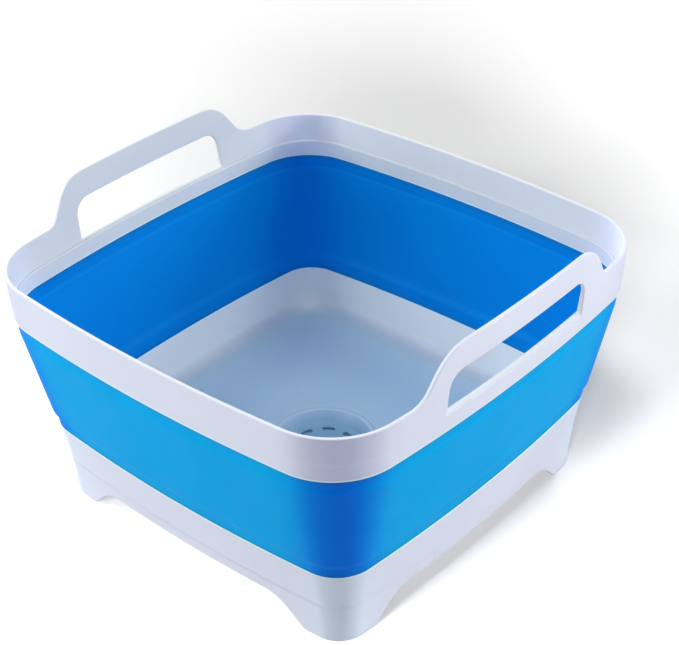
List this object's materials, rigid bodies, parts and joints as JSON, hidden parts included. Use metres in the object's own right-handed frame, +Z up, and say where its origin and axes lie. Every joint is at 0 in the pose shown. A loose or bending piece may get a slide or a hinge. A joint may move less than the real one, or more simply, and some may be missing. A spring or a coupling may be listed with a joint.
{
  "type": "collapsible camp washbasin",
  "caption": "Square collapsible camp washbasin: stiff rim with two carry handles, fold-down soft wall, footed base tray with strainer drain and plug.",
  "frame": {"origin": "on the ground under the middle of the basin", "axes": "+Z up, X through the two handles, Y along the plain sides"},
  "size_m": [0.3132, 0.31, 0.1996],
  "materials": {
    "white_plastic": "satin",
    "blue_soft_plastic": "satin",
    "seal_rubber": "matt"
  },
  "bodies": {
    "base": {"base_tray": "white_plastic", "drain_strainer": "white_plastic"},
    "wall": {"soft_wall": "blue_soft_plastic"},
    "rim": {"rim_frame": "white_plastic"},
    "plug": {"drain_plug": "white_plastic", "plug_seal": "seal_rubber"}
  },
  "joints": [
    {"name": "collapse", "type": "slide", "parent": "base", "child": "rim", "axis": [0, 0, -1], "range_m": [0, 0.127], "deforming": ["soft_wall"]},
    {"name": "wall_fold", "type": "slide", "parent": "base", "child": "wall", "axis": [0, 0, -1], "range_m": [0, 0.056]},
    {"name": "plug_pull", "type": "slide", "parent": "base", "child": "plug", "axis": [0, 0, -1], "range_m": [0, 0.007]}
  ],
  "couplings": [
    {"joint": "wall_fold", "follows": "collapse", "ratio": 0.44}
  ]
}
